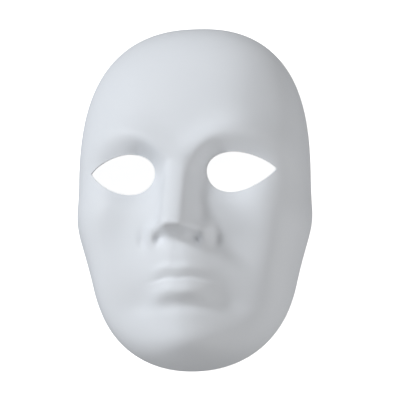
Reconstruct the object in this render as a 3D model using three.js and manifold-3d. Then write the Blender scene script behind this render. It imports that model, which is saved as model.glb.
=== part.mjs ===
// Plain white plastic face mask: one thin moulded shell with two eye holes, lying on its cut edge.
// Millimetres. +Z out of the face, +Y to the forehead, +X to the right in the picture; x = 0 halves it.
import * as THREE from "three";
import { mergeVertices } from "three/addons/utils/BufferGeometryUtils.js";
import Module from "manifold-3d";

const wasm = await Module();
wasm.setup();

// Overall size
const HALF_LENGTH = 107.4; // half of the length from forehead to chin
const HALF_BREADTH = 72.9; // half of the breadth at eye level
const WALL = 1.2; // thickness of the plastic
const LOWEST_INSIDE = 0.4; // keeps the inner face above the cut edge where the dome meets it
const CROWN = 57; // height of the plain dome under the face
const CROWN_LEAN = -2.51; // rise of the dome from the middle to the forehead end; below 0 it falls

// Outline of the cut edge
const FOREHEAD_CURVE = [2.95, 2.36]; // exponents of the upper half
const CHIN_CURVE = [3.35, 2.08]; // exponents of the lower half
const JAW_TUCK = 0.074; // share of the breadth lost from cheek to jaw
const JAW_FROM = -8; // where the tuck starts
const JAW_TO = -54.5; // where it is complete
const EAR_SWELL = 1.2; // slight swelling in front of the ears
const EAR_Y = -16;
const EAR_SPAN = 15;

// Fullness of the dome: a higher number is boxier
const FULL_SIDE = 3.85;
const FULL_FOREHEAD = 2.58;
const FULL_CHIN = 3;
const ROUNDING = 2.5;
const EDGE_CUT = 0.993; // the dome is cut just short of its own edge, which leaves a draft
const OUTLINE_END = 0.9995; // share of the half length at which the two sides of the outline meet
const FORM_FADE = 6; // how late the forms of the face fade out towards the edge

// Broad forms of the face: height or depth, place and radii of each swelling or hollow
const MIDDLE = { round: 6, shift: 1 }; // rounds the two halves into each other at x = 0
const BROW = { high: 6, x: 38.9, y: 34.1, bend: 0.0114, wide: 41.3, tall: 11.8 };
const SOCKET = { deep: 8.6, x: 28.2, y: 11, wide: 15.4, out: 24, tall: 17.6, edge: 2.6, crisp: 2.6 };
const SOCKET_CORNER = { across: 0.8, up: 0.6, from: 0.2 }; // where the socket's edge is crisp
const INNER_CORNER = { deep: 2.58, x: 17.7, y: 7.3, wide: 9.2, tall: 11.4 };
const CHEEKBONE = { high: 3.8, x: 51.9, y: -10, wide: 22.2, tall: 18.5, slope: 0.47 };
const HOLLOW = { deep: 10.6, x: 34.5, y: -41, wide: 29.2, tall: 61.4, lean: 0.07 };
const MUZZLE = { high: 7, y: -44.6, wide: 28.9, tall: 25.9 };
const TEMPLE = { deep: 6.5, x: 61.5, y: 47.5, wide: 20, tall: 48 };
const JAW = { deep: 6, x: 44.7, y: -75.5, wide: 24.4, tall: 18.9 };
const CHIN = { high: 14.7, y: -102, wide: 26, tall: 14 };

// Nose
const CREST = { ridge: 1, wings: 2 }; // rounding at x = 0
const RIDGE = { root: 61.8, rootY: 12.8, tip: 78, tipY: -25.4, fade: 0.56, fadeSoft: 7 };
const UNDERSIDE = { slope: 2.5, arch: 0.026, soft: 2.6 };
const FLANK = { slope: 2.6, half: 6.2, baseHalf: 4, edge: 2.2, crown: 0.002, blend: 5.2 };
const FLANK_BASE = { above: 1, below: 7 }; // where the tip narrows to the base, counted from the tip
const WING = { high: 5.2, x: 17, y: -28.7, wide: 5.6, tall: 6.2 };
const NOSTRIL = { deep: 3.3, x: 12.4, y: -30.7, wide: 3.7, tall: 3.4, below: 5 };
const WING_CREASE = { deep: 3.2, x: 22, y: -30.2, wide: 4.2, tall: 7 };

// Mouth
const MOUTH_Y = -56.6;
const MOUTH_DROOP = { drop: 1.1, x: 22, power: 2.4 }; // how much lower the line lies out at x
const CUPID = { lift: 0.78, x: 7.5, wide: 5 };
const GROOVE = { deep: 0.57, wide: 4, low: [1, 7], high: [16, 24] }; // ends counted from the mouth
const UPPER_LIP = { high: 1.6, rise: 5.4, wide: 17, tall: 3 };
const LOWER_LIP = { high: 3.9, drop: 9.6, wide: 18, tall: 5.6 };
const LIP_LINE = { deep: 1, wide: 18.8, tall: 1.3 };
const LIP_FOLD = { deep: 2.6, y: -71, wide: 24, tall: 5 };
const MOUTH_CORNER = { deep: 1.17, x: 26.5, y: -66.4, wide: 8.1, tall: 8.1 };

// Eye holes: round at the inner end and pointed at the outer one
const EYE_INNER = { x: 16.3, y: 10.9 };
const EYE_OUTER = { x: 58.1, y: 12.5 };
const EYE = { sag: -0.7, up: 11.6, down: 13.4, point: 0.81 };
const EYE_STEPS = 44;

// Mesh steps
const FINE_BREADTH = 22; // half breadth of the evenly spaced columns over nose and mouth
const FINE_COLUMNS = 18;
const ROW_BANDS = [
  { from: -80, to: -40, count: 12 }, // chin and mouth
  { from: -40, to: -18, count: 10 }, // wings and tip of the nose
  { from: -18, to: 42, count: 18 }, // bridge, eyes and brow
];
const SIDE_STEPS = 10;
const FOREHEAD_STEPS = 11;
const CHIN_STEPS = 7;
const SLOPE_STEP = 0.3; // half of the stretch over which a slope is measured

const bump = (t) => Math.exp(-t * t);
const spot = (dx, dy, form) => bump(dx / form.wide) * bump(dy / form.tall);
const softMax = (a, b, k) => 0.5 * (a + b + Math.hypot(a - b, k));
const softMin = (a, b, k) => 0.5 * (a + b - Math.hypot(a - b, k));

function ease(from, to, t) {
  const s = Math.min(Math.max((t - from) / (to - from), 0), 1);
  return s * s * (3 - 2 * s);
}

// Half of the breadth of the outline at height y.
function halfBreadth(y) {
  const u = Math.min(Math.abs(y) / HALF_LENGTH, 1);
  const [inner, outer] = y > 0 ? FOREHEAD_CURVE : CHIN_CURVE;
  const plain = HALF_BREADTH * Math.pow(1 - Math.pow(u, inner), 1 / outer);
  const tucked = plain * (1 - JAW_TUCK * ease(JAW_FROM, JAW_TO, y));
  return tucked + EAR_SWELL * bump((y - EAR_Y) / EAR_SPAN);
}

// Breadth that turns the outline into a unit circle.
function reach(y) {
  const end = OUTLINE_END * HALF_LENGTH;
  const clamped = Math.min(Math.max(y, -end), end);
  return halfBreadth(clamped) / Math.sqrt(1 - (clamped / HALF_LENGTH) ** 2);
}

// The plain dome: 0 at the outline and 1 in the middle.
function dome(x, y) {
  const a = x / reach(y);
  const b = y / HALF_LENGTH;
  const square = a * a + b * b;
  const end = y > 0 ? FULL_FOREHEAD : FULL_CHIN;
  const full = FULL_SIDE + ((end - FULL_SIDE) * b * b) / Math.max(square, 1e-9);
  const rho = Math.min(Math.sqrt(square), 1);
  const edge = Math.pow(1 - Math.pow(EDGE_CUT, full), 1 / ROUNDING);
  const level = Math.pow(1 - Math.pow(EDGE_CUT * rho, full), 1 / ROUNDING);
  return { level: (level - edge) / (1 - edge), rho };
}

// Brow, eye sockets with a crisper edge towards the nose, cheeks, muzzle, temples, jaw and chin.
function broadForms(x, y) {
  const ax = Math.hypot(x, MIDDLE.round) - MIDDLE.shift;
  const browY = BROW.y - BROW.bend * (ax - BROW.x) ** 2;
  let z = BROW.high * spot(ax - BROW.x, y - browY, BROW);
  const beside = (ax - SOCKET.x) / (ax > SOCKET.x ? SOCKET.out : SOCKET.wide);
  const over = (y - SOCKET.y) / SOCKET.tall;
  const round = Math.hypot(beside, over);
  const towards = (SOCKET_CORNER.up * over - SOCKET_CORNER.across * beside) / Math.max(round, 1e-6);
  const edge = SOCKET.edge + SOCKET.crisp * ease(SOCKET_CORNER.from, 1, towards);
  z -= SOCKET.deep * Math.exp(-Math.pow(round, edge));
  z -= INNER_CORNER.deep * spot(ax - INNER_CORNER.x, y - INNER_CORNER.y, INNER_CORNER);
  const out = ax - CHEEKBONE.x;
  z += CHEEKBONE.high * spot(out, y - CHEEKBONE.y + CHEEKBONE.slope * out, CHEEKBONE);
  const across = ax - HOLLOW.x;
  const along = y - HOLLOW.y;
  const cos = Math.cos(HOLLOW.lean);
  const sin = Math.sin(HOLLOW.lean);
  z -= HOLLOW.deep * spot(across * cos - along * sin, along * cos + across * sin, HOLLOW);
  z += MUZZLE.high * spot(ax, y - MUZZLE.y, MUZZLE);
  z -= TEMPLE.deep * spot(ax - TEMPLE.x, y - TEMPLE.y, TEMPLE);
  z -= JAW.deep * spot(ax - JAW.x, y - JAW.y, JAW);
  z += CHIN.high * spot(ax, y - CHIN.y, CHIN);
  return z;
}

// Ridge, tip and underside of the nose blended over the face, then wings and nostrils.
function withNose(z, x, y) {
  const ax = Math.hypot(x, CREST.wings);
  const climb = (RIDGE.tip - RIDGE.root) / (RIDGE.rootY - RIDGE.tipY);
  const above = y - RIDGE.rootY;
  const fade = RIDGE.fade * softMax(above, 0, RIDGE.fadeSoft);
  const rise = RIDGE.root - climb * above - fade;
  const fall = RIDGE.tip + UNDERSIDE.slope * (y - RIDGE.tipY + UNDERSIDE.arch * x * x);
  const ridge = softMin(rise, fall, UNDERSIDE.soft);
  const below = ease(RIDGE.tipY + FLANK_BASE.above, RIDGE.tipY - FLANK_BASE.below, y);
  const half = FLANK.half - (FLANK.half - FLANK.baseHalf) * below;
  const past = softMax(Math.hypot(x, CREST.ridge) - half, 0, FLANK.edge);
  const nose = ridge - FLANK.slope * past - FLANK.crown * x * x;
  let out = softMax(z, nose, FLANK.blend);
  out += WING.high * spot(ax - WING.x, y - WING.y, WING);
  const drop = (y - NOSTRIL.y) / (y > NOSTRIL.y ? NOSTRIL.tall : NOSTRIL.below);
  out -= NOSTRIL.deep * bump((ax - NOSTRIL.x) / NOSTRIL.wide) * bump(drop);
  out -= WING_CREASE.deep * spot(ax - WING_CREASE.x, y - WING_CREASE.y, WING_CREASE);
  return out;
}

// Groove under the nose, both lips, the line between them and the fold above the chin.
function withMouth(z, x, y) {
  const ax = Math.hypot(x, CREST.wings);
  const lift = CUPID.lift * bump((ax - CUPID.x) / CUPID.wide);
  const line = MOUTH_Y + lift - MOUTH_DROOP.drop * Math.pow(ax / MOUTH_DROOP.x, MOUTH_DROOP.power);
  const above = y - MOUTH_Y;
  const [low, high] = [GROOVE.low, GROOVE.high];
  const groove = ease(low[0], low[1], above) * ease(high[1], high[0], above);
  let out = z - GROOVE.deep * bump(x / GROOVE.wide) * groove;
  const lip = (form, at) => form.high * bump((x / form.wide) ** 2) * bump((y - line - at) / form.tall);
  out += lip(UPPER_LIP, UPPER_LIP.rise) + lip(LOWER_LIP, -LOWER_LIP.drop);
  out -= LIP_LINE.deep * bump((y - line) / LIP_LINE.tall) * bump((ax / LIP_LINE.wide) ** 2);
  out -= LIP_FOLD.deep * spot(x, y - LIP_FOLD.y, LIP_FOLD);
  out -= MOUTH_CORNER.deep * spot(ax - MOUTH_CORNER.x, y - MOUTH_CORNER.y, MOUTH_CORNER);
  return out;
}

// Height of the outer face over the plane of the cut edge.
function faceHeight(x, y) {
  const { level, rho } = dome(x, y);
  const crown = CROWN + (CROWN_LEAN * y) / HALF_LENGTH;
  const inside = 1 - Math.pow(rho, FORM_FADE);
  const plain = crown * level + broadForms(x, y) * inside;
  return withMouth(withNose(plain, x, y), x, y);
}

// Outward direction of the face at a point.
function faceNormal(x, y) {
  const d = SLOPE_STEP;
  const sx = (faceHeight(x + d, y) - faceHeight(x - d, y)) / (2 * d);
  const sy = (faceHeight(x, y + d) - faceHeight(x, y - d)) / (2 * d);
  return new THREE.Vector3(-sx, -sy, 1).normalize();
}

// A point of the square -1..1 laid on the plan of the mask; the square's edge becomes the outline.
function planPoint(p, q) {
  const y = HALF_LENGTH * q * Math.sqrt(1 - (p * p) / 2);
  return new THREE.Vector2(reach(y) * p * Math.sqrt(1 - (q * q) / 2), y);
}

// Steps from one value to the edge of the square at 1, closer towards the edge.
function edgeSteps(from, count) {
  const steps = [];
  for (let i = 1; i <= count; i++) {
    steps.push(from + (1 - from) * Math.sin((Math.PI / 2) * (i / count)));
  }
  return steps;
}

// Even steps of the square between two lengths of the mask, both ends included.
function evenSteps(from, to, count, whole) {
  return Array.from({ length: count + 1 }, (_, i) => (from + ((to - from) * i) / count) / whole);
}

function columns() {
  const middle = evenSteps(-FINE_BREADTH, FINE_BREADTH, FINE_COLUMNS, HALF_BREADTH);
  const side = edgeSteps(FINE_BREADTH / HALF_BREADTH, SIDE_STEPS);
  return [...side.map((v) => -v).reverse(), ...middle, ...side];
}

function rows() {
  const band = ({ from, to, count }) => evenSteps(from, to, count, HALF_LENGTH).slice(1);
  const middle = ROW_BANDS.flatMap(band);
  const first = ROW_BANDS[0].from / HALF_LENGTH;
  const chin = edgeSteps(-first, CHIN_STEPS);
  const forehead = edgeSteps(ROW_BANDS.at(-1).to / HALF_LENGTH, FOREHEAD_STEPS);
  return [...chin.map((v) => -v).reverse(), first, ...middle, ...forehead];
}

// The closed shell without its holes: outer face, inner face at the wall's distance, and the cut edge.
function shellGeometry() {
  const cols = columns();
  const rws = rows();
  const width = cols.length;
  const height = rws.length;
  const plan = rws.map((q) => cols.map((p) => planPoint(p, q)));
  const onEdge = (i, j) => i === 0 || j === 0 || i === height - 1 || j === width - 1;
  const positions = [];
  const outer = plan.map((row, i) => row.map((v, j) => {
    const z = onEdge(i, j) ? 0 : faceHeight(v.x, v.y);
    return new THREE.Vector3(v.x, v.y, z);
  }));

  // The loop of places along the edge, counter-clockwise seen from above.
  const loop = [];
  for (let j = 0; j < width; j++) loop.push([0, j]);
  for (let i = 1; i < height; i++) loop.push([i, width - 1]);
  for (let j = width - 2; j >= 0; j--) loop.push([height - 1, j]);
  for (let i = height - 2; i >= 1; i--) loop.push([i, 0]);

  const inner = plan.map((row, i) => row.map((v, j) => {
    if (onEdge(i, j)) return null;
    const point = outer[i][j].clone().addScaledVector(faceNormal(v.x, v.y), -WALL);
    point.z = Math.max(point.z, LOWEST_INSIDE * outer[i][j].z);
    return point;
  }));
  loop.forEach(([i, j], k) => {
    const before = loop[(k + loop.length - 1) % loop.length];
    const after = loop[(k + 1) % loop.length];
    const along = outer[after[0]][after[1]].clone().sub(outer[before[0]][before[1]]).normalize();
    inner[i][j] = outer[i][j].clone().add(new THREE.Vector3(-along.y, along.x, 0).multiplyScalar(WALL));
  });

  for (const face of [outer, inner]) {
    for (const row of face) {
      for (const v of row) positions.push(v.x, v.y, v.z);
    }
  }
  const under = width * height;
  const at = (i, j) => i * width + j;
  const index = [];
  for (let i = 0; i < height - 1; i++) {
    for (let j = 0; j < width - 1; j++) {
      const [a, b, c, d] = [at(i, j), at(i, j + 1), at(i + 1, j + 1), at(i + 1, j)];
      const leaning = (j < width / 2) === (i < height / 2);
      const cells = leaning ? [a, b, c, a, c, d] : [a, b, d, b, c, d];
      index.push(...cells);
      for (let k = 0; k < 6; k += 3) {
        index.push(under + cells[k], under + cells[k + 2], under + cells[k + 1]);
      }
    }
  }
  loop.forEach(([i, j], k) => {
    const [m, n] = loop[(k + 1) % loop.length];
    const a = at(i, j);
    const b = at(m, n);
    index.push(a, under + a, b, b, under + a, under + b);
  });
  const geometry = new THREE.BufferGeometry();
  geometry.setAttribute("position", new THREE.Float32BufferAttribute(positions, 3));
  geometry.setIndex(index);
  return geometry;
}

// Outline of an eye hole in plan; side is 1 or -1.
function eyeOutline(side) {
  const peakAt = 1 / (1 + 2 * EYE.point);
  const peak = Math.sqrt(peakAt) * Math.pow(1 - peakAt, EYE.point);
  const points = [];
  for (let k = 0; k < EYE_STEPS; k++) {
    const turn = (Math.PI * 2 * (k + 0.5)) / EYE_STEPS;
    const s = Math.abs(Math.sin(turn / 2));
    const c = Math.abs(Math.cos(turn / 2));
    const share = s * s;
    const x = EYE_INNER.x + (EYE_OUTER.x - EYE_INNER.x) * share;
    const line = EYE_INNER.y + (EYE_OUTER.y - EYE_INNER.y) * share;
    const middle = line + EYE.sag * 4 * share * (1 - share);
    const half = (s * Math.pow(c, 2 * EYE.point)) / peak;
    const y = middle + (turn < Math.PI ? EYE.up : -EYE.down) * half;
    points.push(new THREE.Vector2(side * x, y));
  }
  return points;
}

// An upright block of the eye hole's outline, for cutting.
function eyeCutter(side) {
  const block = new THREE.ExtrudeGeometry(new THREE.Shape(eyeOutline(side)), {
    depth: CROWN * 2,
    bevelEnabled: false,
  });
  return block;
}

function toSolid(geometry) {
  const bare = new THREE.BufferGeometry();
  bare.setAttribute("position", geometry.getAttribute("position"));
  if (geometry.index) bare.setIndex(geometry.index);
  const merged = mergeVertices(bare, 1e-4);
  return new wasm.Manifold(new wasm.Mesh({
    numProp: 3,
    vertProperties: merged.getAttribute("position").array,
    triVerts: Uint32Array.from(merged.index.array),
  }));
}

function toGeometry(solid) {
  const mesh = solid.getMesh();
  const geometry = new THREE.BufferGeometry();
  geometry.setAttribute("position", new THREE.BufferAttribute(mesh.vertProperties, 3));
  geometry.setIndex(new THREE.BufferAttribute(mesh.triVerts, 1));
  return geometry;
}

let shell = toSolid(shellGeometry());
for (const side of [-1, 1]) shell = shell.subtract(toSolid(eyeCutter(side)));

const plastic = new THREE.MeshStandardMaterial({ color: 0xe9edf2, roughness: 0.55, metalness: 0 });
const mask = new THREE.Mesh(toGeometry(shell), plastic);
mask.name = "mask_shell";

const part = new THREE.Group();
part.name = "face_mask";
part.add(mask);

export default part;
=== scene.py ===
"""Looks of a plain white plastic face mask that lies face up on its cut edge.

Lengths are in millimetres in the shape functions and in metres on the objects.
+Z points out of the face, +Y to the forehead, and x = 0 halves the face.
"""

import math

import bmesh
import bpy
import numpy as np
from mathutils import Matrix, Vector
from mathutils.geometry import delaunay_2d_cdt


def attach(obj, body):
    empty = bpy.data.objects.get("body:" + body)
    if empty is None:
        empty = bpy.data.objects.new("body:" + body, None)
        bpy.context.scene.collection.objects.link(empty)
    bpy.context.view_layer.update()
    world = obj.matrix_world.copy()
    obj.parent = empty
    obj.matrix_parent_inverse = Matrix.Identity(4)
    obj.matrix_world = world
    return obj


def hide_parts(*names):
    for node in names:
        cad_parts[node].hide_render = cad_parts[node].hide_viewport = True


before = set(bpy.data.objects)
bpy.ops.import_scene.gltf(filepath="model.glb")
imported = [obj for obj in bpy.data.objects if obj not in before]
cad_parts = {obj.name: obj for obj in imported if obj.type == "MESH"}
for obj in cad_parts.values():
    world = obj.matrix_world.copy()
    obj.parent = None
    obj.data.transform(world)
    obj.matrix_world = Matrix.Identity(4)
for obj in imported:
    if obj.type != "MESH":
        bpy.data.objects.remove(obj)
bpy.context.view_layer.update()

# Overall size
HALF_LENGTH = 107.4
HALF_BREADTH = 72.9
WALL = 1.2
LOWEST_INSIDE = 0.4  # keeps the inner face above the cut edge
CROWN = 57.0
CROWN_LEAN = -2.51

# Outline of the cut edge
FOREHEAD_CURVE = (2.95, 2.36)
CHIN_CURVE = (3.35, 2.08)
JAW_TUCK = 0.074
JAW_FROM = -8.0
JAW_TO = -54.5
EAR_SWELL = 1.2
EAR_Y = -16.0
EAR_SPAN = 15.0

# Fullness of the dome: a higher number is boxier
FULL_SIDE = 3.85
FULL_FOREHEAD = 2.58
FULL_CHIN = 3.00
ROUNDING = 2.50
EDGE_CUT = 0.993
OUTLINE_END = 0.9995  # share of the half length at which the two sides of the outline meet
FORM_FADE = 6  # how late the forms of the face fade out towards the edge

# Broad forms of the face: height or depth, place and radii of each swelling or hollow
MIDDLE = dict(round=6, shift=1)  # rounds the two halves into each other at x = 0
BROW = dict(high=6.0, x=38.9, y=34.1, bend=0.0114, wide=41.3, tall=11.8)
SOCKET = dict(deep=8.6, x=28.2, y=11.0, wide=15.4, out=24, tall=17.6, edge=2.6, crisp=2.6)
SOCKET_CORNER = dict(across=0.8, up=0.6, start=0.2)  # where the socket's edge is crisp
INNER_CORNER = dict(deep=2.58, x=17.7, y=7.3, wide=9.2, tall=11.4)
CHEEKBONE = dict(high=3.8, x=51.9, y=-10.0, wide=22.2, tall=18.5, slope=0.47)
HOLLOW = dict(deep=10.6, x=34.5, y=-41, wide=29.2, tall=61.4, lean=0.07)
MUZZLE = dict(high=7.0, y=-44.6, wide=28.9, tall=25.9)
TEMPLE = dict(deep=6.5, x=61.5, y=47.5, wide=20, tall=48)
JAW = dict(deep=6.0, x=44.7, y=-75.5, wide=24.4, tall=18.9)
CHIN = dict(high=14.7, y=-102.0, wide=26.0, tall=14.0)

# Nose
CREST = dict(ridge=1, wings=2)  # rounding at x = 0
RIDGE = dict(root=61.8, root_y=12.8, tip=78.0, tip_y=-25.4, fade=0.56, fade_soft=7)
UNDERSIDE = dict(slope=2.5, arch=0.026, soft=2.6)
FLANK = dict(slope=2.6, half=6.2, base_half=4.0, edge=2.2, crown=0.002, blend=5.2)
FLANK_BASE = dict(above=1, below=7)  # where the tip narrows to the base, counted from the tip
WING = dict(high=5.2, x=17.0, y=-28.7, wide=5.6, tall=6.2)
NOSTRIL = dict(deep=3.3, x=12.4, y=-30.7, wide=3.7, tall=3.4, below=5)
WING_CREASE = dict(deep=3.2, x=22.0, y=-30.2, wide=4.2, tall=7)

# Mouth
MOUTH_Y = -56.6
MOUTH_DROOP = dict(drop=1.1, x=22, power=2.4)  # how much lower the line lies out at x
CUPID = dict(lift=0.78, x=7.5, wide=5)
GROOVE = dict(deep=0.57, wide=4, low=(1, 7), high=(16, 24))  # ends counted from the mouth
UPPER_LIP = dict(high=1.6, rise=5.4, wide=17.0, tall=3)
LOWER_LIP = dict(high=3.9, drop=9.6, wide=18.0, tall=5.6)
LIP_LINE = dict(deep=1.0, wide=18.8, tall=1.3)
LIP_FOLD = dict(deep=2.6, y=-71, wide=24, tall=5)
MOUTH_CORNER = dict(deep=1.17, x=26.5, y=-66.4, wide=8.1, tall=8.1)

# Eye holes: round at the inner end and pointed at the outer one
EYE_INNER = (16.3, 10.9)
EYE_OUTER = (58.1, 12.5)
EYE = dict(sag=-0.7, up=11.6, down=13.4, point=0.81)

# Mesh of the shell
STEP = 1.2  # spacing over the face
FACE_BREADTH = 60.0  # half breadth of the evenly spaced part
FACE_FROM = -84.0
FACE_TO = 44.0
SIDE_STEPS = 24
FOREHEAD_STEPS = 36
CHIN_STEPS = 28
EDGE_PACE = 1.75  # how the steps close up towards the cut edge
EYE_STEPS = 160
EYE_CELLS = 3  # grid cells cleared round an eye hole
EYE_GUARD = 0.7  # from an eye hole's rounded edge to the ring of points round it
GUARD_CLEAR = 0.45  # from that ring to the nearest grid point
EYE_REACH = 40.0  # no point further from the middle of an eye hole is near its edge
UPRIGHT_CUT = 5.0  # over this stretch the wall turns from upright at the hole to square with the face
FLATTEST = 0.5  # limit on the slope where the wall is upright
EDGE_ROUND = 0.3  # radius of the trimmed edges
EDGE_RINGS = 4
SLOPE_STEP = 0.15  # half of the stretch over which a slope is measured

# Camera: how far it stands from straight above the face, and what it sees, in metres
CAMERA_RIGHT = math.radians(11.6)
CAMERA_BELOW = math.radians(8.7)
CAMERA_AWAY = 12.0
VIEW_WIDTH = 0.248
VIEW_CENTRE = (0.0027, 0.0001)
FLOOR_HALF = 9.0


def bump(t):
    """1 in the middle, falling to nothing over about two units."""
    return np.exp(-t * t)


def spot(dx, dy, form):
    """A round swelling of height 1, as broad and tall as the form says."""
    return bump(dx / form["wide"]) * bump(dy / form["tall"])


def soft_max(a, b, k):
    """The larger of two heights, with a blend about as wide as k between them."""
    return 0.5 * (a + b + np.hypot(a - b, k))


def soft_min(a, b, k):
    return 0.5 * (a + b - np.hypot(a - b, k))


def ease(start, end, t):
    """Smooth step from 0 at the start to 1 at the end."""
    s = np.clip((t - start) / (end - start), 0, 1)
    return s * s * (3 - 2 * s)


def half_breadth(y):
    """Half of the breadth of the outline at height y."""
    u = np.minimum(np.abs(y) / HALF_LENGTH, 1)
    inner = np.where(y > 0, FOREHEAD_CURVE[0], CHIN_CURVE[0])
    outer = np.where(y > 0, FOREHEAD_CURVE[1], CHIN_CURVE[1])
    plain = HALF_BREADTH * (1 - u**inner) ** (1 / outer)
    tucked = plain * (1 - JAW_TUCK * ease(JAW_FROM, JAW_TO, y))
    return tucked + EAR_SWELL * bump((y - EAR_Y) / EAR_SPAN)


def reach(y):
    """Breadth that turns the outline into a unit circle."""
    held = np.clip(y, -OUTLINE_END * HALF_LENGTH, OUTLINE_END * HALF_LENGTH)
    return half_breadth(held) / np.sqrt(1 - (held / HALF_LENGTH) ** 2)


def dome(x, y):
    """The plain dome, 0 at the outline and 1 in the middle, and the distance out from the middle."""
    a = x / reach(y)
    b = y / HALF_LENGTH
    square = a * a + b * b
    end = np.where(y > 0, FULL_FOREHEAD, FULL_CHIN)
    full = FULL_SIDE + (end - FULL_SIDE) * b * b / np.maximum(square, 1e-9)
    rho = np.minimum(np.sqrt(square), 1)
    edge = (1 - EDGE_CUT**full) ** (1 / ROUNDING)
    level = (1 - (EDGE_CUT * rho) ** full) ** (1 / ROUNDING)
    return (level - edge) / (1 - edge), rho


def broad_forms(x, y):
    """Brow, eye sockets, cheeks, muzzle, temples, jaw and chin."""
    ax = np.hypot(x, MIDDLE["round"]) - MIDDLE["shift"]
    brow_y = BROW["y"] - BROW["bend"] * (ax - BROW["x"]) ** 2
    z = BROW["high"] * spot(ax - BROW["x"], y - brow_y, BROW)
    across = ax - SOCKET["x"]
    across = across / np.where(across > 0, SOCKET["out"], SOCKET["wide"])
    upper = (y - SOCKET["y"]) / SOCKET["tall"]
    round_eye = np.hypot(across, upper)
    towards = (SOCKET_CORNER["up"] * upper - SOCKET_CORNER["across"] * across) / np.maximum(round_eye, 1e-6)
    edge = SOCKET["edge"] + SOCKET["crisp"] * ease(SOCKET_CORNER["start"], 1, towards)
    z = z - SOCKET["deep"] * np.exp(-(round_eye**edge))
    z = z - INNER_CORNER["deep"] * spot(ax - INNER_CORNER["x"], y - INNER_CORNER["y"], INNER_CORNER)
    out = ax - CHEEKBONE["x"]
    z = z + CHEEKBONE["high"] * spot(out, y - CHEEKBONE["y"] + CHEEKBONE["slope"] * out, CHEEKBONE)
    across = ax - HOLLOW["x"]
    along = y - HOLLOW["y"]
    cos, sin = math.cos(HOLLOW["lean"]), math.sin(HOLLOW["lean"])
    z = z - HOLLOW["deep"] * spot(across * cos - along * sin, along * cos + across * sin, HOLLOW)
    z = z + MUZZLE["high"] * spot(ax, y - MUZZLE["y"], MUZZLE)
    z = z - TEMPLE["deep"] * spot(ax - TEMPLE["x"], y - TEMPLE["y"], TEMPLE)
    z = z - JAW["deep"] * spot(ax - JAW["x"], y - JAW["y"], JAW)
    return z + CHIN["high"] * spot(ax, y - CHIN["y"], CHIN)


def with_nose(z, x, y):
    """Ridge, tip and underside of the nose blended over the face, then wings and nostrils."""
    ax = np.hypot(x, CREST["wings"])
    climb = (RIDGE["tip"] - RIDGE["root"]) / (RIDGE["root_y"] - RIDGE["tip_y"])
    above = y - RIDGE["root_y"]
    fade = RIDGE["fade"] * soft_max(above, 0, RIDGE["fade_soft"])
    rise = RIDGE["root"] - climb * above - fade
    fall = RIDGE["tip"] + UNDERSIDE["slope"] * (y - RIDGE["tip_y"] + UNDERSIDE["arch"] * x * x)
    ridge = soft_min(rise, fall, UNDERSIDE["soft"])
    below = ease(RIDGE["tip_y"] + FLANK_BASE["above"], RIDGE["tip_y"] - FLANK_BASE["below"], y)
    half = FLANK["half"] - (FLANK["half"] - FLANK["base_half"]) * below
    past = soft_max(np.hypot(x, CREST["ridge"]) - half, 0, FLANK["edge"])
    nose = ridge - FLANK["slope"] * past - FLANK["crown"] * x * x
    out = soft_max(z, nose, FLANK["blend"])
    out = out + WING["high"] * spot(ax - WING["x"], y - WING["y"], WING)
    drop = y - NOSTRIL["y"]
    drop = drop / np.where(drop > 0, NOSTRIL["tall"], NOSTRIL["below"])
    out = out - NOSTRIL["deep"] * bump((ax - NOSTRIL["x"]) / NOSTRIL["wide"]) * bump(drop)
    return out - WING_CREASE["deep"] * spot(ax - WING_CREASE["x"], y - WING_CREASE["y"], WING_CREASE)


def with_mouth(z, x, y):
    """Groove under the nose, both lips, the line between them and the fold above the chin."""
    ax = np.hypot(x, CREST["wings"])
    lift = CUPID["lift"] * bump((ax - CUPID["x"]) / CUPID["wide"])
    line = MOUTH_Y + lift - MOUTH_DROOP["drop"] * (ax / MOUTH_DROOP["x"]) ** MOUTH_DROOP["power"]
    above = y - MOUTH_Y
    groove = ease(*GROOVE["low"], above) * ease(*reversed(GROOVE["high"]), above)
    out = z - GROOVE["deep"] * bump(x / GROOVE["wide"]) * groove
    for lip, rise in ((UPPER_LIP, UPPER_LIP["rise"]), (LOWER_LIP, -LOWER_LIP["drop"])):
        out = out + lip["high"] * bump((x / lip["wide"]) ** 2) * bump((y - line - rise) / lip["tall"])
    out = out - LIP_LINE["deep"] * bump((y - line) / LIP_LINE["tall"]) * bump((ax / LIP_LINE["wide"]) ** 2)
    out = out - LIP_FOLD["deep"] * spot(x, y - LIP_FOLD["y"], LIP_FOLD)
    return out - MOUTH_CORNER["deep"] * spot(ax - MOUTH_CORNER["x"], y - MOUTH_CORNER["y"], MOUTH_CORNER)


def face_height(x, y):
    """Height of the outer face over the plane of the cut edge."""
    level, rho = dome(x, y)
    crown = CROWN + CROWN_LEAN * y / HALF_LENGTH
    plain = crown * level + broad_forms(x, y) * (1 - rho**FORM_FADE)
    return with_mouth(with_nose(plain, x, y), x, y)


def face_normal(x, y):
    """Outward direction of the face, one row per point."""
    d = SLOPE_STEP
    sx = (face_height(x + d, y) - face_height(x - d, y)) / (2 * d)
    sy = (face_height(x, y + d) - face_height(x, y - d)) / (2 * d)
    n = np.stack([-sx, -sy, np.ones_like(sx)], axis=-1)
    return n / np.linalg.norm(n, axis=-1, keepdims=True)


def plan_of(p, q):
    """Plan of the mask for a point of the square -1..1, whose edge is the outline."""
    y = HALF_LENGTH * q * np.sqrt(1 - p * p / 2)
    return reach(y) * p * np.sqrt(1 - q * q / 2), y


def square_of(x, y):
    """The point of the square for a plan position: the inverse of plan_of."""
    a = x / reach(y)
    b = y / HALF_LENGTH
    root = 2 * math.sqrt(2)
    p = 0.5 * (np.sqrt(2 + a * a - b * b + root * a) - np.sqrt(2 + a * a - b * b - root * a))
    q = 0.5 * (np.sqrt(2 - a * a + b * b + root * b) - np.sqrt(2 - a * a + b * b - root * b))
    return p, q


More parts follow.
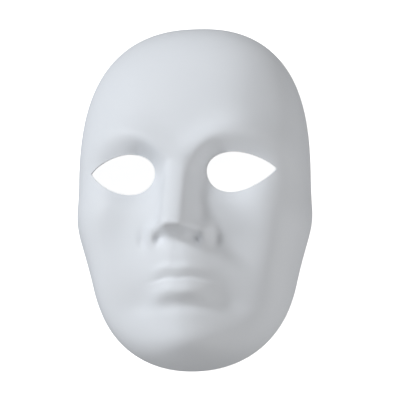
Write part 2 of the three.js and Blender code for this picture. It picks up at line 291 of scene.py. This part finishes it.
def edge_steps(start, count):
    """Steps from one value to 1, closer towards 1."""
    t = np.arange(count - 1, -1, -1) / count
    return 1 - (1 - start) * t**EDGE_PACE


def even_steps(start, end, whole):
    """Evenly spaced steps as shares of the whole."""
    count = round((end - start) / STEP)
    return np.linspace(start, end, count + 1) / whole


def columns():
    side = edge_steps(FACE_BREADTH / HALF_BREADTH, SIDE_STEPS)
    return np.concatenate([-side[::-1], even_steps(-FACE_BREADTH, FACE_BREADTH, HALF_BREADTH), side])


def rows():
    chin = edge_steps(-FACE_FROM / HALF_LENGTH, CHIN_STEPS)
    forehead = edge_steps(FACE_TO / HALF_LENGTH, FOREHEAD_STEPS)
    return np.concatenate([-chin[::-1], even_steps(FACE_FROM, FACE_TO, HALF_LENGTH), forehead])


def eye_outline(side):
    """Outline of an eye hole in plan, counter-clockwise; side is 1 or -1."""
    peak_at = 1 / (1 + 2 * EYE["point"])
    peak = math.sqrt(peak_at) * (1 - peak_at) ** EYE["point"]
    turn = 2 * math.pi * (np.arange(EYE_STEPS) + 0.5) / EYE_STEPS
    s, c = np.abs(np.sin(turn / 2)), np.abs(np.cos(turn / 2))
    share = s * s
    x = EYE_INNER[0] + (EYE_OUTER[0] - EYE_INNER[0]) * share
    line = EYE_INNER[1] + (EYE_OUTER[1] - EYE_INNER[1]) * share + EYE["sag"] * 4 * share * (1 - share)
    half = s * c ** (2 * EYE["point"]) / peak
    y = line + np.where(turn < math.pi, EYE["up"], -EYE["down"]) * half
    points = np.stack([side * x, y], axis=1)
    return points if side < 0 else points[::-1]


def grown(loop, distance):
    """A closed counter-clockwise plan loop moved outwards by a distance."""
    along = np.roll(loop, -1, axis=0) - np.roll(loop, 1, axis=0)
    along /= np.linalg.norm(along, axis=1, keepdims=True)
    return loop + distance * np.stack([along[:, 1], -along[:, 0]], axis=1)


def inside(points, loop):
    """Which plan points lie inside a closed loop."""
    x, y = points[:, :1], points[:, 1:]
    ax, ay = loop[:, 0], loop[:, 1]
    bx, by = np.roll(ax, -1), np.roll(ay, -1)
    crosses = (ay > y) != (by > y)
    rise = np.where(by == ay, 1.0, by - ay)
    left = x < ax + (y - ay) * (bx - ax) / rise
    return (crosses & left).sum(axis=1) % 2 == 1


def gap_to(points, loop):
    """Distance of each plan point to the nearest point of a loop."""
    return np.min(np.linalg.norm(points[:, None, :] - loop[None, :, :], axis=2), axis=1)


class Shell:
    """The mask's closed shell, gathered as plan points with the heights of both faces."""

    def __init__(self):
        self.plan = []
        self.cells = []
        self.eye_rings = []
        self.grid()
        for side in (-1, 1):
            self.open_eye(side)

    def grid(self):
        """Plan points of the whole face in rows and columns, with every cell still free."""
        self.cols, self.rows = columns(), rows()
        self.wide, self.tall = len(self.cols), len(self.rows)
        p, q = np.meshgrid(self.cols, self.rows)
        x, y = plan_of(p, q)
        self.plan = np.stack([x.ravel(), y.ravel()], axis=1)
        self.free = np.ones((self.tall - 1, self.wide - 1), bool)

    def at(self, i, j):
        """Number of the grid point in row i and column j."""
        return i * self.wide + j

    def index_place(self, points):
        """Plan points in steps of the grid, where every cell is a unit square."""
        p, q = square_of(points[:, 0], points[:, 1])
        j = np.interp(p, self.cols, np.arange(self.wide))
        i = np.interp(q, self.rows, np.arange(self.tall))
        return np.stack([j, i], axis=1)

    def open_eye(self, side):
        """Replaces the cells round an eye hole by triangles that end on its outline."""
        outline = eye_outline(side)
        ring = grown(outline, EDGE_ROUND)
        guard = grown(outline, EDGE_ROUND + EYE_GUARD)
        place = self.index_place(ring)
        j0, i0 = np.floor(place.min(axis=0)).astype(int) - EYE_CELLS
        j1, i1 = np.ceil(place.max(axis=0)).astype(int) + EYE_CELLS
        self.free[i0:i1, j0:j1] = False
        grid = [(i, j) for i in range(i0, i1 + 1) for j in range(j0, j1 + 1)]
        ids = np.array([self.at(i, j) for i, j in grid])
        points = self.plan[ids]
        keep = ~inside(points, guard) & (gap_to(points, guard) > GUARD_CLEAR)
        ids = ids[keep]
        first = len(self.plan)
        self.plan = np.concatenate([self.plan, ring, guard])
        ring_ids = np.arange(first, first + len(ring))
        guard_ids = ring_ids + len(ring)
        known = np.concatenate([ids, ring_ids, guard_ids])
        spots = self.index_place(self.plan[known])
        spots[: len(ids)] = np.round(spots[: len(ids)])
        start = len(ids)
        loops = []
        for k in (0, 1):
            a = start + k * len(ring)
            loops += [(a + n, a + (n + 1) % len(ring)) for n in range(len(ring))]
        made = delaunay_2d_cdt([Vector(v) for v in spots], loops, [], 0, 1e-7)
        back = [known[o[0]] for o in made[3]]
        hole = spots[start : start + len(ring)]
        tris = np.array([[back[v] for v in f] for f in made[2]])
        where = {g: s for g, s in zip(known, spots)}
        middles = np.array([sum(where[v] for v in t) / 3 for t in tris])
        self.cells += [tuple(t) for t, gone in zip(tris, inside(middles, hole)) if not gone]
        self.eye_rings.append((outline, ring_ids))

    def faces(self):
        """Triangles of the outer face, counter-clockwise from above."""
        out = list(self.cells)
        for i in range(self.tall - 1):
            for j in range(self.wide - 1):
                if not self.free[i, j]:
                    continue
                a, b, c, d = self.at(i, j), self.at(i, j + 1), self.at(i + 1, j + 1), self.at(i + 1, j)
                if (j < self.wide / 2) == (i < self.tall / 2):
                    out += [(a, b, c), (a, c, d)]
                else:
                    out += [(a, b, d), (b, c, d)]
        return out

    def rim(self):
        """Grid points of the cut edge, counter-clockwise from above."""
        w, t = self.wide, self.tall
        loop = [(0, j) for j in range(w)] + [(i, w - 1) for i in range(1, t)]
        loop += [(t - 1, j) for j in range(w - 2, -1, -1)] + [(i, 0) for i in range(t - 2, 0, -1)]
        return [self.at(i, j) for i, j in loop]

    def surfaces(self):
        """Outer and inner place of every plan point."""
        x, y = self.plan.T
        z = face_height(x, y)
        n = face_normal(x, y)
        gap = np.full(len(x), EYE_REACH)
        for outline, ring in self.eye_rings:
            near = np.linalg.norm(self.plan - outline.mean(axis=0), axis=1) < EYE_REACH
            gap[near] = np.minimum(gap[near], gap_to(self.plan[near], outline))
        slant = ease(EDGE_ROUND, UPRIGHT_CUT, gap)[:, None]
        down = np.stack([0 * z, 0 * z, -WALL / np.maximum(n[:, 2], FLATTEST)], axis=1)
        outer = np.stack([x, y, z], axis=1)
        inner = outer + slant * (-WALL * n) + (1 - slant) * down
        inner[:, 2] = np.maximum(inner[:, 2], LOWEST_INSIDE * z)
        return outer, inner

    def mesh(self):
        """Points, faces and share of trimmed edge of the closed shell."""
        outer, inner = self.surfaces()
        rim = self.rim()
        along = np.roll(outer[rim], -1, axis=0) - np.roll(outer[rim], 1, axis=0)
        along /= np.linalg.norm(along, axis=1, keepdims=True)
        inwards = np.stack([-along[:, 1], along[:, 0], 0 * along[:, 0]], axis=1)
        foot = outer[rim] * (1, 1, 0)
        up = np.array([0, 0, 1.0])
        outer[rim] = foot + EDGE_ROUND * up
        inner[rim] = foot + WALL * inwards + EDGE_ROUND * up
        verts = [*outer, *inner]
        under = len(outer)
        used = self.faces()
        faces = [*used, *[(under + a, under + c, under + b) for a, b, c in used]]
        trim = [0.0] * len(verts)

        def strip(loops):
            """Bands of faces that join a list of closed loops."""
            for one, two in zip(loops, loops[1:]):
                for k in range(len(one)):
                    m = (k + 1) % len(one)
                    faces.append((one[k], two[k], two[m], one[m]))

        def ring_of(points):
            """A new closed loop of points on a trimmed edge."""
            first = len(verts)
            verts.extend(points)
            trim.extend([1.0] * len(points))
            return list(range(first, first + len(points)))

        angles = [math.pi / 2 * k / EDGE_RINGS for k in range(1, EDGE_RINGS + 1)]
        loops = [rim]
        for t in angles:
            lift = EDGE_ROUND * (1 - math.sin(t)) * up
            loops.append(ring_of(foot + EDGE_ROUND * (1 - math.cos(t)) * inwards + lift))
        for t in reversed(angles[:-1]):
            lift = EDGE_ROUND * (1 - math.sin(t)) * up
            loops.append(ring_of(foot + (WALL - EDGE_ROUND * (1 - math.cos(t))) * inwards + lift))
        loops.append([under + k for k in rim])
        strip(loops)

        for outline, ring in self.eye_rings:
            flat = np.concatenate([outline, np.zeros((len(outline), 1))], axis=1)
            away = np.concatenate([self.plan[ring] - outline, np.zeros((len(outline), 1))], axis=1)
            away /= EDGE_ROUND
            top = outer[ring][:, 2:] * up
            low = inner[ring][:, 2:] * up
            loops = [list(ring)]
            for t in angles:
                side = EDGE_ROUND * (1 - math.sin(t))
                loops.append(ring_of(flat + side * away + top - EDGE_ROUND * (1 - math.cos(t)) * up))
            for t in reversed(angles[:-1]):
                side = EDGE_ROUND * (1 - math.sin(t))
                loops.append(ring_of(flat + side * away + low + EDGE_ROUND * (1 - math.cos(t)) * up))
            loops.append([under + k for k in ring])
            strip(loops[::-1])
        return np.array(verts), faces, trim


def make_shell():
    """The mask as one smooth mesh object in metres."""
    verts, faces, trim = Shell().mesh()
    mesh = bpy.data.meshes.new("moulded_shell")
    mesh.from_pydata([tuple(v) for v in verts * 0.001], [], [tuple(int(k) for k in f) for f in faces])
    edge_share = mesh.attributes.new("trim", "FLOAT", "POINT")
    edge_share.data.foreach_set("value", np.array(trim, np.float32))
    obj = bpy.data.objects.new("moulded_shell", mesh)
    bpy.context.scene.collection.objects.link(obj)
    bm = bmesh.new()
    bm.from_mesh(mesh)
    loose = [v for v in bm.verts if not v.link_faces]
    bmesh.ops.delete(bm, geom=loose, context="VERTS")
    bm.to_mesh(mesh)
    bm.free()
    mesh.polygons.foreach_set("use_smooth", [True] * len(mesh.polygons))
    mesh.update()
    return obj


class Socket:
    """A shader socket that can stand in sums: an expression on it adds Math nodes."""

    def __init__(self, shader, socket):
        self.shader = shader
        self.socket = socket

    def maths(self, operation, *values):
        return self.shader.add("ShaderNodeMath", dict(operation=operation), *values)

    def __add__(self, other):
        return self.maths("ADD", self, other)

    __radd__ = __add__

    def __sub__(self, other):
        return self.maths("SUBTRACT", self, other)

    def __rsub__(self, other):
        return self.maths("SUBTRACT", other, self)

    def __mul__(self, other):
        return self.maths("MULTIPLY", self, other)

    __rmul__ = __mul__


class Shader:
    """A material whose nodes are added one call at a time."""

    def __init__(self, name):
        self.material = bpy.data.materials.new(name)
        self.material.use_nodes = True
        self.tree = self.material.node_tree
        self.tree.nodes.clear()

    def add(self, kind, settings=None, *values, output=0, **named):
        """Adds a node: its settings first, then the values or links of its sockets, by place or by name."""
        node = self.tree.nodes.new(kind)
        for key, value in (settings or {}).items():
            setattr(node, key, value)
        for key, value in [*enumerate(values), *named.items()]:
            socket = node.inputs[key if isinstance(key, int) else key.replace("_", " ")]
            if isinstance(value, Socket):
                self.tree.links.new(value.socket, socket)
            else:
                socket.default_value = value
        return Socket(self, node.outputs[output]) if node.outputs else node

    def mix(self, share, one, two):
        """Colour between two colours."""
        node = self.tree.nodes.new("ShaderNodeMix")
        node.data_type = "RGBA"
        for socket, value in zip((node.inputs[0], node.inputs[6], node.inputs[7]), (share, one, two)):
            if isinstance(value, Socket):
                self.tree.links.new(value.socket, socket)
            else:
                socket.default_value = value
        return Socket(self, node.outputs[2])


# Colours of the plastic: the two between which it is clouded, and its trimmed edges
PLASTIC = (0.80, 0.83, 0.875, 1)
PLASTIC_DEEP = (0.775, 0.808, 0.858, 1)
PLASTIC_CUT = (0.86, 0.88, 0.91, 1)


def white_plastic():
    """Cool white matt plastic, faintly clouded, with a fine moulded grain."""
    s = Shader("white_plastic")
    place = s.add("ShaderNodeTexCoord", output=3)
    cloud = s.add("ShaderNodeTexNoise", None, Vector=place, Scale=28.0, Detail=3.0)
    grain = s.add("ShaderNodeTexNoise", None, Vector=place, Scale=1500.0, Detail=2.0)
    wave = s.add("ShaderNodeTexNoise", None, Vector=place, Scale=190.0, Detail=2.0)
    cut = s.add("ShaderNodeAttribute", dict(attribute_name="trim"), output=2)
    colour = s.mix(cloud, PLASTIC_DEEP, PLASTIC)
    colour = s.mix(cut * 0.7, colour, PLASTIC_CUT)
    rough = 0.5 + cloud * 0.08 + grain * 0.06 + cut * 0.12
    relief = grain * 0.35 + wave
    normal = s.add("ShaderNodeBump", None, Strength=0.35, Distance=0.00012, Height=relief)
    surface = s.add(
        "ShaderNodeBsdfPrincipled", None, Base_Color=colour, Roughness=rough, Normal=normal,
        IOR=1.46, Specular_IOR_Level=0.4,
    )
    s.add("ShaderNodeOutputMaterial", None, surface)
    return s.material


def floor_material():
    """White paper that stays white in every light."""
    s = Shader("white_table")
    paper = s.add("ShaderNodeBsdfDiffuse", None, Color=(0.85, 0.85, 0.85, 1))
    glow = s.add("ShaderNodeEmission", None, Color=(1, 1, 1, 1), Strength=0.9)
    both = s.add("ShaderNodeAddShader", None, paper, glow)
    s.add("ShaderNodeOutputMaterial", None, both)
    return s.material


def make_floor():
    """The white ground, which sends no light back on the mask."""
    mesh = bpy.data.meshes.new("floor")
    corners = [(FLOOR_HALF * x, FLOOR_HALF * y, 0) for x, y in ((-1, -1), (1, -1), (1, 1), (-1, 1))]
    mesh.from_pydata(corners, [], [(0, 1, 2, 3)])
    obj = bpy.data.objects.new("floor", mesh)
    bpy.context.scene.collection.objects.link(obj)
    mesh.materials.append(floor_material())
    obj.visible_diffuse = False
    obj.visible_glossy = False
    return obj


# The picture's own directions: to its right, up it, and out of it towards the camera.
cos_r, sin_r = math.cos(CAMERA_RIGHT), math.sin(CAMERA_RIGHT)
cos_b, sin_b = math.cos(CAMERA_BELOW), math.sin(CAMERA_BELOW)
VIEW_RIGHT = Vector((cos_r, 0, -sin_r))
VIEW_UP = Vector((sin_b * sin_r, cos_b, sin_b * cos_r))
VIEW_OUT = Vector((cos_b * sin_r, -sin_b, cos_b * cos_r))


def facing(out, up):
    """Turn that looks against out, with up at the top."""
    right = up.cross(out).normalized()
    return Matrix((right, out.cross(right), out)).transposed().to_4x4()


def make_camera():
    """A far camera with a long lens, so the face is seen almost without perspective."""
    data = bpy.data.cameras.new("camera")
    data.sensor_width = 36
    data.lens = 36 * CAMERA_AWAY / VIEW_WIDTH
    data.clip_end = 50
    obj = bpy.data.objects.new("camera", data)
    bpy.context.scene.collection.objects.link(obj)
    target = VIEW_RIGHT * VIEW_CENTRE[0] + VIEW_UP * VIEW_CENTRE[1]
    obj.matrix_world = Matrix.Translation(target + VIEW_OUT * CAMERA_AWAY) @ facing(VIEW_OUT, VIEW_UP)
    bpy.context.scene.camera = obj


# Colours of the light from the left and from the right
COOL = (0.985, 1.0, 1.01)
WARM = (1.0, 0.982, 0.955)

# Soft lights: degrees off the camera's line, degrees round from the picture's right, strength,
# spread in degrees, and colour.
LIGHTS = {
    "key": (64, 145, 1.64, 8, COOL),
    "left": (67, 168, 0.97, 20, COOL),
    "right_rim": (76, 24, 0.96, 28, WARM),
    "low": (68, 280, 0.98, 28, WARM),
    "right": (50, 32, 0.42, 30, WARM),
}
WORLD = 0.142  # strength of the even light from all round


def make_lights():
    """The soft lights and the even light from all round."""
    for name, (off, turn, strength, spread, colour) in LIGHTS.items():
        off, turn = math.radians(off), math.radians(turn)
        aside = VIEW_RIGHT * math.cos(turn) + VIEW_UP * math.sin(turn)
        data = bpy.data.lights.new(name, "SUN")
        data.energy = strength
        data.color = colour
        data.angle = math.radians(spread)
        obj = bpy.data.objects.new(name, data)
        obj.matrix_world = facing(aside * math.sin(off) + VIEW_OUT * math.cos(off), Vector((0, 1, 0)))
        bpy.context.scene.collection.objects.link(obj)
    world = bpy.data.worlds.new("studio")
    world.use_nodes = True
    world.node_tree.nodes["Background"].inputs[0].default_value = (1, 1, 1, 1)
    world.node_tree.nodes["Background"].inputs[1].default_value = WORLD
    bpy.context.scene.world = world


shell = make_shell()
shell.data.materials.append(white_plastic())
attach(shell, "root")
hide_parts("mask_shell")

make_floor()
make_camera()
make_lights()
bpy.context.scene.view_settings.view_transform = "Standard"
